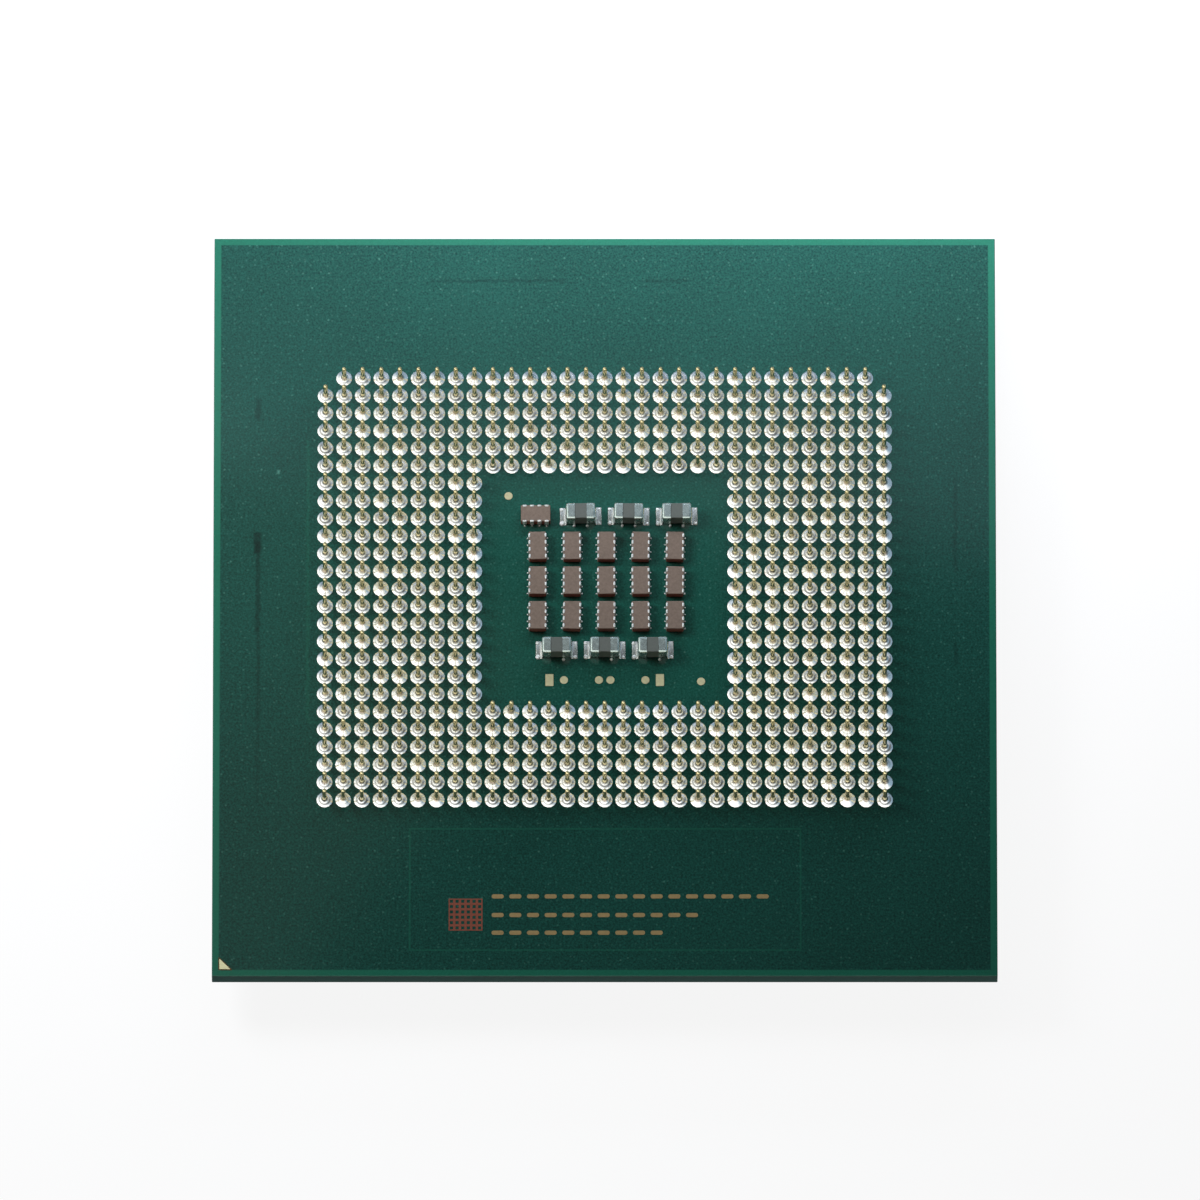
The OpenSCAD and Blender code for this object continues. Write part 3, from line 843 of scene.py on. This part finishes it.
class PACKAGE_OT_chip_capacitors(bpy.types.Operator):
    """Make the two-terminal capacitors: ceramic bodies, metal ends, solder fillets and stray beads"""
    bl_idname = "package.chip_capacitors"
    bl_label = "Chip capacitors"

    def execute(self, context):
        s = context.scene.package_capacitors
        draw = random.Random(s.seed + 1)
        fillets, beads = bmesh.new(), bmesh.new()
        for number in range(1, CHIP_COUNT + 1):
            low, high = box_mm(f"chip_capacitor_{number}")
            foot, crown = box_mm(f"chip_end_caps_{number}")
            centre = (foot + crown) / 2
            seat = Matrix.Translation((centre.x, centre.y, 0)) @ cap_turn(draw)
            half = (crown - foot) / 2

            body = bmesh.new()
            corner = (high - low).xy / 2
            round_block(body, (*-corner, low.z), (*corner, high.z), s.ceramic_round / MM)
            seated(
                f"chip_body_{number}", body, seat, "ceramic_fired_grey", "grey_ceramic",
                f"chip_capacitor_{number}", smooth=False,
            )
            ends = bmesh.new()
            for side in ENDS:
                self.end_cup(ends, side, half, foot.z, crown.z, high.z - low.z, s)
                self.fillet(fillets, beads, seat, side, half, draw)
            seated(
                f"chip_ends_{number}", ends, seat, "tin_electroplated", "tin_plating",
                f"chip_end_caps_{number}", crease=60,
            )
            for x in STRAY_UPPER if number <= CHIP_COUNT // 2 else STRAY_LOWER:
                size = draw.uniform(*STRAY_RADIUS)
                spot = Matrix.Translation((centre.x + x, centre.y - half.y - STRAY_OUT, TOP))
                bead(beads, spot @ Matrix.Diagonal((size, size, STRAY_TALL * size, 1.0)))
        piece("chip_joints", fillets, ("solder_wetted_pad",), "solder", ["chip_solder"])
        piece("solder_beads", beads, ("solder_reflowed_tin_alloy",), "solder")
        return {"FINISHED"}

    def end_cup(self, bm, side, half, bottom, top, tall, s):
        """A rounded metal cup over one end of the body."""
        band = s.end_band / MM
        wall = (top - bottom - tall) / 2
        mouth = side * (half.x - band)
        low_x, high_x = sorted((mouth, side * half.x))
        before = set(bm.verts)
        verts = block(bm, (low_x, -half.y, bottom), (high_x, half.y, top))
        outer = [e for e in edges_of(verts) if any(abs(v.co.x - mouth) > NEAR for v in e.verts)]
        bevel(bm, outer, s.end_round / MM, segments=3)
        flats = [f for f in bm.faces if not before & set(f.verts) and f.calc_area() > CUP_FLAT]
        bmesh.ops.inset_individual(bm, faces=flats, thickness=CUP_INSET, depth=0.0)
        rim = [
            f for f in bm.faces
            if not before & set(f.verts) and all(abs(v.co.x - mouth) < NEAR for v in f.verts)
        ]
        bmesh.ops.inset_region(bm, faces=rim, thickness=wall, depth=0.0, use_even_offset=True)
        deep = list({v for f in rim for v in f.verts})
        bmesh.ops.translate(bm, vec=(side * (band - wall), 0, 0), verts=deep)

    def fillet(self, bm, beads, seat, side, half, draw):
        """A low bed of solder with a raised rim and swollen corners at one end of a chip."""
        strip = bmesh.new()
        wide = half.y + FILLET_MARGIN
        outline = [(half.x + out, -wide, TOP + FILLET_START * up) for out, up in FILLET_PROFILE]
        verts = [strip.verts.new(corner) for corner in outline]
        edges = [strip.edges.new(pair) for pair in zip(verts, verts[1:] + verts[:1])]
        runs = (FILLET_RUN_OUT, 2 * (wide - FILLET_RUN_OUT), FILLET_RUN_OUT)
        for run, rise in zip(runs, FILLET_RISES):
            made = bmesh.ops.extrude_edge_only(strip, edges=edges)["geom"]
            edges = [g for g in made if isinstance(g, bmesh.types.BMEdge)]
            verts = [g for g in made if isinstance(g, bmesh.types.BMVert)]
            bmesh.ops.translate(strip, vec=(0, run, 0), verts=verts)
            bmesh.ops.scale(strip, vec=(1, 1, rise), space=Matrix.Translation((0, 0, -TOP)), verts=verts)
        close_holes(strip)
        if side < 0:
            bmesh.ops.scale(strip, vec=(-1, 1, 1), verts=strip.verts)
        bmesh.ops.recalc_face_normals(strip, faces=strip.faces)
        move_in(bm, strip, seat)
        for out, along, radius, tall in FILLET_CORNERS:
            size = draw.uniform(*CORNER_SIZES[side])
            spot = seat @ Matrix.Translation((side * (half.x + out), along, TOP))
            bead(beads, spot @ Matrix.Diagonal((size * radius, size * radius, size * tall, 1.0)))


# Bare pads, in millimetres from the middle of the pin field.
PAD_ROW = -6.605
ROUND_PADS = (
    (-2.77, PAD_ROW), (-0.39, PAD_ROW), (0.39, PAD_ROW), (2.77, PAD_ROW), (-6.56, 6.705), (6.56, -6.705),
)
BAR_PADS = ((-3.76, PAD_ROW), (3.76, PAD_ROW))
BAR_CORNER = 0.03
PAD_SEGMENTS = 28
# Broken upper edge of the thin gold.
GOLD_EDGE = 0.008


class PACKAGE_OT_pads(bpy.types.Operator):
    """Make the bare gold pads in the bay"""
    bl_idname = "package.pads"
    bl_label = "Bare pads"

    def execute(self, context):
        s = context.scene.package_marks
        low, high = box_mm("test_pads")
        wide, tall = s.pad_width / MM, s.bar_length / MM
        bm = bmesh.new()
        for x, y in ROUND_PADS + BAR_PADS:
            place = Vector((FIELD_CENTRE.x + x, FIELD_CENTRE.y + y, low.z))
            if (x, y) in BAR_PADS:
                face = flat_bar(bm, place, wide, tall, BAR_CORNER, segments=2)
            else:
                spot = Matrix.Translation(place)
                disc = bmesh.ops.create_circle(
                    bm, cap_ends=True, segments=PAD_SEGMENTS, radius=wide / 2, matrix=spot,
                )["verts"]
                face = face_of(bm, disc)
            raised = lift(bm, [face], high.z - low.z)
            bevel(bm, edges_of(raised), GOLD_EDGE, segments=1)
        piece("bare_pads", bm, ("gold_flash_pads",), "pad_gold", ["test_pads"], smooth=False)
        return {"FINISHED"}


# Margin to the frame's triangle and radius of the corners, in millimetres, and share of its thickness.
MARK_SHAPE = (-0.04, 0.05, 1.0)
OPENING_SHAPE = (0.03, 0.1, 0.4)


class PACKAGE_OT_corner_mark(bpy.types.Operator):
    """Make the gold corner mark and the mask opening round it"""
    bl_idname = "package.corner_mark"
    bl_label = "Corner mark"

    def execute(self, context):
        self.triangle("pin_one_mark", "gold_flash_mark", ["corner_mark"], *MARK_SHAPE)
        self.triangle("mark_opening", "laminate_bare_resin", [], *OPENING_SHAPE)
        return {"FINISHED"}

    def triangle(self, name, finish, nodes, margin, corner, share):
        """A thin triangle with rounded corners, wider than the frame's by a margin on every side."""
        low, high = box_mm("corner_mark")
        bm = bmesh.new()
        far = margin * (1 + math.sqrt(2))
        left, front = low.x - margin, low.y - margin
        outline = ((left, front), (high.x + far, front), (left, high.y + far))
        verts = [bm.verts.new((x, y, low.z)) for x, y in outline]
        bm.faces.new(verts)
        bevel(bm, verts, corner, segments=3, affect="VERTICES")
        raised = lift(bm, bm.faces[:], share * (high.z - low.z))
        bevel(bm, edges_of(raised), GOLD_EDGE, segments=1)
        piece(name, bm, (finish,), "pad_gold", nodes, smooth=False)


# Plain printed bars: height of each row from the board's centre and its number of bars.
PRINT_ROWS = ((-20.92, 16), (-22.26, 12), (-23.53, 10))
PRINT_LEFT = -7.27
PRINT_STEP = 1.2
# Width and height of a bar, and the rounding of its ends as a share of its height.
PRINT_BAR = (0.82, 0.3)
PRINT_ROUND = 0.45
SQUARE_CENTRE = (-9.45, -22.23)
SQUARE_SIDE = 2.3
SQUARE_HOLES = 6
# Rim round a hole of the square, as a share of its cell.
SQUARE_RIM = 0.3


class PACKAGE_OT_marking(bpy.types.Operator):
    """Make the plain printed bars and the plain square in the marking window"""
    bl_idname = "package.marking"
    bl_label = "Marking"

    def execute(self, context):
        thick = context.scene.package_marks.print_thick / MM
        wide, tall = PRINT_BAR
        bars = bmesh.new()
        for y, bar_count in PRINT_ROWS:
            for i in range(bar_count):
                place = (PRINT_LEFT + i * PRINT_STEP, y, TOP)
                bar = flat_bar(bars, place, wide, tall, PRINT_ROUND * tall, segments=3)
                lift(bars, [bar], thick)
        piece("marking_bars", bars, ("copper_print_tan",), smooth=False)

        square = bmesh.new()
        spot = Matrix.Translation((*SQUARE_CENTRE, TOP)) @ Matrix.Scale(SQUARE_SIDE / 2, 4)
        bmesh.ops.create_grid(
            square, x_segments=SQUARE_HOLES, y_segments=SQUARE_HOLES, size=1.0, matrix=spot,
        )
        cells = square.faces[:]
        rim = SQUARE_RIM * SQUARE_SIDE / SQUARE_HOLES
        bmesh.ops.inset_individual(square, faces=cells, thickness=rim, depth=0.0)
        bmesh.ops.delete(square, geom=cells, context="FACES")
        lift(square, square.faces[:], thick)
        piece("marking_square", square, ("copper_print_red",), smooth=False)
        return {"FINISHED"}


CORNER_SEGMENTS = 8
CHAMFER_SEGMENTS = 4
# Inset of the lid's outer face, which keeps its shading flat.
LID_INSET = 0.05
# Frame nodes that stay, with their finishes.
LAYERS = {
    "lid_sealant": "silicone_cured_bead", "thermal_interface": "thermal_paste_filled",
    "silicon_die": "silicon_lapped", "underfill": "underfill_cured_epoxy",
}


class PACKAGE_OT_lid(bpy.types.Operator):
    """Make the nickel-plated lid, and finish the layers between it and the board"""
    bl_idname = "package.lid"
    bl_label = "Lid"

    def execute(self, context):
        s = context.scene.package_lid
        bm = bmesh.new()
        verts = block(bm, LID_LOW, LID_HIGH)
        uprights = [e for e in edges_of(verts) if abs(e.verts[0].co.z - e.verts[1].co.z) > NEAR]
        bevel(bm, uprights, s.corner / MM, CORNER_SEGMENTS)
        outer = [e for e in bm.edges if all(v.co.z < LID_LOW.z + NEAR for v in e.verts)]
        bevel(bm, outer, s.chamfer / MM, CHAMFER_SEGMENTS)
        flat = [f for f in bm.faces if all(v.co.z < LID_LOW.z + NEAR for v in f.verts)]
        bmesh.ops.inset_individual(bm, faces=flat, thickness=LID_INSET, depth=0.0)
        inner = [f for f in bm.faces if all(v.co.z > LID_HIGH.z - NEAR for v in f.verts)]
        bmesh.ops.inset_region(bm, faces=inner, thickness=s.rim_width / MM, depth=0.0, use_even_offset=True)
        recess = list({v for f in inner for v in f.verts})
        bmesh.ops.translate(bm, vec=(0, 0, -s.recess_depth / MM), verts=recess)
        piece("lid", bm, ("nickel_plated_satin",), "nickel_plating", ["heat_spreader"], crease=35)
        for node, finish in LAYERS.items():
            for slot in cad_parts[node].material_slots:
                slot.material = material_of(finish)
        return {"FINISHED"}


# Lamps in millimetres: place, sides, the place on the board that it faces, and whether gloss shows it.
BACK_LAMP = ((20, 50, 32), (80, 28), (20, 50), False)
LEFT_LAMP = ((-75, 30, 72), (42, 42), (0, 0), False)
LEFT_CARD = ((-53, 33, 95), (60, 90), (0, 0), True)
SHEEN_CARD = ((8, 72, 95), (120, 66), (0, 0), True)
# Parts of the white tent: the direction of each, and the cosines at which it begins and is full.
TENT_OVERHEAD = ((0.1, 0.35, 0.93), 0.68, 0.92)
TENT_BEHIND = ((0.58, 0.78, 0.2), -0.35, 0.55)
TENT_AHEAD = ((0.0, -0.94, -0.34), 0.7, 0.92)
# Light of the tent's front, its cool back and its dark parts.
TENT_WHITE = (1.8, 1.81, 1.77)
TENT_COOL = (0.3, 0.44, 0.58)
TENT_DARK = (0.1, 0.105, 0.11)
# Heights between which the tent's strength rises, and its strength below and above them.
TENT_RISE = (0.2, 0.4, 0.5, 1.0)
# Half the floor's side in metres, and the shares of its own colour and of white that the camera sees.
FLOOR_HALF = 1.5
FLOOR_SHARE = 0.15
FLOOR_GLOW = 0.9
# Place on the board that the camera looks at, in millimetres.
CAMERA_AIM = (-0.32, 0.45)


class PACKAGE_OT_stage(bpy.types.Operator):
    """Set the floor, the studio light and the camera"""
    bl_idname = "package.stage"
    bl_label = "Stage"

    def execute(self, context):
        s = context.scene.package_stage
        context.scene.view_settings.view_transform = "Standard"
        self.floor(s)
        self.sky(context, s)
        self.lamp("back_lamp", s.back_power, s.back_colour, *BACK_LAMP)
        self.lamp("left_lamp", s.left_power, s.left_colour, *LEFT_LAMP)
        self.lamp("left_card", s.card_power, s.card_colour, *LEFT_CARD)
        self.lamp("sheen_card", s.sheen_power, s.back_colour, *SHEEN_CARD)
        self.camera(context, s)
        return {"FINISHED"}

    def floor(self, s):
        """A pale floor that looks white and keeps the shadow, and is open from below."""
        bm = bmesh.new()
        bmesh.ops.create_grid(bm, x_segments=1, y_segments=1, size=FLOOR_HALF)
        mesh = kept_mesh(bm, "floor")
        floor = bpy.data.objects.new("floor", mesh)
        bpy.context.scene.collection.objects.link(floor)
        material = bpy.data.materials.new("floor_pale_matt")
        add = adder(material)
        rays = add("LightPath").outputs
        seen = add("Math", (rays["Is Camera Ray"], rays["Is Glossy Ray"]), operation="MAXIMUM")
        seen = add("Math", (seen, rays["Is Transmission Ray"]), operation="MAXIMUM")
        plain = add("BsdfDiffuse", {"Color": tone(s.floor_colour)})
        dim = add("BsdfDiffuse", {"Color": tone(s.floor_colour, FLOOR_SHARE)})
        glow = add("Emission", {"Color": WHITE, "Strength": FLOOR_GLOW})
        shown = add("MixShader", (seen, plain, add("AddShader", (dim, glow))))
        back = add("NewGeometry").outputs["Backfacing"]
        surface = add("MixShader", (back, shown, add("BsdfTransparent")))
        add("OutputMaterial", {"Surface": surface})
        mesh.materials.append(material)

    def sky(self, context, s):
        """A white tent, dark overhead and low in front, cooler at the back right and dimmer near the floor.

        Gloss shows the tent, matt surfaces get an even fill, and the camera sees white.
        """
        world = bpy.data.worlds.new("studio")
        context.scene.world = world
        add = adder(world)
        direction = add("TexCoord").outputs["Generated"]

        def share(axis, start, end):
            """How much of a part of the tent lies in a direction."""
            along = add("VectorMath", (direction, axis), operation="DOT_PRODUCT")
            return add("MapRange", (along, start, end, 0.0, 1.0), interpolation_type="SMOOTHSTEP")

        dark = tone(TENT_DARK)
        tent = add(
            "Mix", {0: share(*TENT_BEHIND), 6: tone(TENT_WHITE), 7: tone(TENT_COOL)}, data_type="RGBA",
        )
        tent = add("Mix", {0: share(*TENT_OVERHEAD), 6: tent, 7: dark}, data_type="RGBA")
        tent = add("Mix", {0: share(*TENT_AHEAD), 6: tent, 7: dark}, data_type="RGBA")
        height = add("SeparateXYZ", (direction,)).outputs["Z"]
        strength = add("MapRange", (height, *TENT_RISE), interpolation_type="SMOOTHSTEP")
        tent = add("Background", {"Color": tent, "Strength": strength})
        fill = add("Background", {"Color": WHITE, "Strength": s.fill})
        white = add("Background", {"Color": WHITE, "Strength": 1.0})
        rays = add("LightPath").outputs
        lit = add("MixShader", (rays["Is Glossy Ray"], fill, tent))
        clear = add("Math", (rays["Is Camera Ray"], rays["Is Transmission Ray"]), operation="MAXIMUM")
        add("OutputWorld", {"Surface": add("MixShader", (clear, lit, white))})

    def lamp(self, name, power, tint, place, sides, aim, mirrored):
        """A soft lamp, placed and sized in millimetres, that faces a place on the board."""
        light = bpy.data.lights.new(name, "AREA")
        light.shape = "RECTANGLE"
        light.size, light.size_y = (side * MM for side in sides)
        light.energy = power
        light.color = tint
        lamp = bpy.data.objects.new(name, light)
        lamp.location = Vector(place) * MM
        lamp.rotation_euler = (Vector((*aim, TOP)) - Vector(place)).to_track_quat("-Z", "Y").to_euler()
        lamp.visible_camera = False
        lamp.visible_glossy = mirrored
        bpy.context.scene.collection.objects.link(lamp)

    def camera(self, context, s):
        """A long lens in front of the board, looking down on the pins."""
        target = Vector((*CAMERA_AIM, TOP)) * MM
        back = Vector((0, -math.cos(s.elevation), math.sin(s.elevation)))
        data = bpy.data.cameras.new("camera")
        data.sensor_width = 36
        data.lens = data.sensor_width * s.distance / s.view_width
        data.clip_start = 0.01
        camera = bpy.data.objects.new("camera", data)
        camera.location = target + back * s.distance
        camera.rotation_euler = (-back).to_track_quat("-Z", "Y").to_euler()
        context.scene.collection.objects.link(camera)
        context.scene.camera = camera


STEPS = (
    "board", "pin_joints", "pins", "array_capacitors", "chip_capacitors",
    "pads", "corner_mark", "marking", "lid", "stage",
)


class PACKAGE_PT_pieces(bpy.types.Panel):
    """List the steps that make the package"""
    bl_idname = "PACKAGE_PT_pieces"
    bl_label = "Pin grid array package"
    bl_space_type = "VIEW_3D"
    bl_region_type = "UI"
    bl_category = "Package"

    def draw(self, context):
        for step in STEPS:
            self.layout.operator(f"package.{step}")


SETTINGS = {
    "package_board": BoardSettings,
    "package_pins": PinSettings,
    "package_capacitors": CapacitorSettings,
    "package_marks": MarkSettings,
    "package_lid": LidSettings,
    "package_stage": StageSettings,
}
CLASSES = (
    *SETTINGS.values(),
    PACKAGE_OT_board, PACKAGE_OT_pin_joints, PACKAGE_OT_pins, PACKAGE_OT_array_capacitors,
    PACKAGE_OT_chip_capacitors, PACKAGE_OT_pads, PACKAGE_OT_corner_mark, PACKAGE_OT_marking,
    PACKAGE_OT_lid, PACKAGE_OT_stage, PACKAGE_PT_pieces,
)


def register():
    for cls in CLASSES:
        bpy.utils.register_class(cls)
    for name, cls in SETTINGS.items():
        setattr(bpy.types.Scene, name, PointerProperty(type=cls))


def unregister():
    for name in SETTINGS:
        delattr(bpy.types.Scene, name)
    for cls in reversed(CLASSES):
        bpy.utils.unregister_class(cls)


def main():
    register()
    for step in STEPS:
        getattr(bpy.ops.package, step)()


if __name__ == "__main__":
    main()
